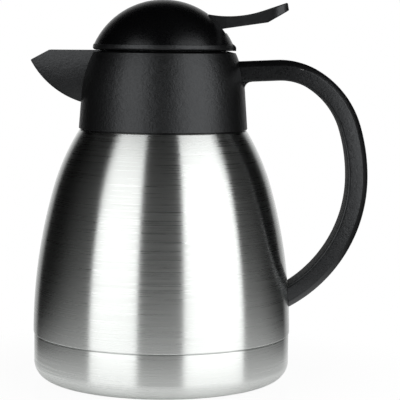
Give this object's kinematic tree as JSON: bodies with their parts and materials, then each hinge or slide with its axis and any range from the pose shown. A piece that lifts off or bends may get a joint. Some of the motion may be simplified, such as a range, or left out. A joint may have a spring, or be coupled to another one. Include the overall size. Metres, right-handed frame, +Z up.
{
  "type": "vacuum coffee pot",
  "caption": "Bell-shaped double-walled steel vacuum coffee pot with a dark plastic collar, beak spout, loop handle and screw-in lid whose thumb lever lifts a pouring valve.",
  "frame": {"origin": "centre of the foot ring, on the plane that the pot stands on", "axes": "+Z up along the axis of the flask, -X towards the spout, +X towards the handle and thumb lever"},
  "size_m": [0.1835, 0.1408, 0.2062],
  "materials": {
    "brushed_steel": "brushed round the axis",
    "plain_steel": "plain drawn steel",
    "bright_steel": "bright",
    "getter_metal": "pressed powder in a cup",
    "black_plastic": "fine matt texture",
    "lid_plastic": "satin",
    "silicone": "translucent white silicone"
  },
  "bodies": {
    "pot": {"base_cup": "brushed_steel", "outer_shell": "brushed_steel", "inner_liner": "plain_steel", "vacuum_base": "plain_steel", "getter": "getter_metal", "vacuum_seal": "silicone", "collar": "black_plastic", "neck_gasket": "silicone", "handle": "black_plastic", "handle_cover": "black_plastic", "handle_bracket": "plain_steel", "handle_screws": "bright_steel"},
    "lid_seal": {"stopper_gasket": "silicone"},
    "lid": {"lid_dome": "lid_plastic", "stopper": "black_plastic", "valve_guide": "black_plastic", "stem_seal": "silicone", "valve_spring": "bright_steel", "lever_pin": "bright_steel"},
    "lever": {"lever": "black_plastic"},
    "valve": {"valve_stem": "black_plastic", "valve_plug": "black_plastic", "valve_washer": "silicone", "stem_clip": "bright_steel"}
  },
  "joints": [
    {"name": "lid_lift", "type": "slide", "parent": "pot", "child": "lid_seal", "axis": [0, 0, 1], "range_m": [0, 0.1]},
    {"name": "lid_turn", "type": "hinge", "parent": "lid_seal", "child": "lid", "pos_m": [0, 0, 0.18], "axis": [0, 0, 1], "range_deg": [0, 90]},
    {"name": "lever_press", "type": "hinge", "parent": "lid", "child": "lever", "pos_m": [0.022, 0, 0.19], "axis": [0, 1, 0], "range_deg": [0, 9], "stiffness_Nm_per_rad": 0.6, "springref_deg": -14.32},
    {"name": "valve_lift", "type": "slide", "parent": "lid", "child": "valve", "axis": [0, 0, 1], "range_m": [0, 0.0035], "deforming": ["valve_spring"]}
  ],
  "couplings": [
    {"joint": "valve_lift", "follows": "lever_press", "m_per_rad": 0.022}
  ]
}
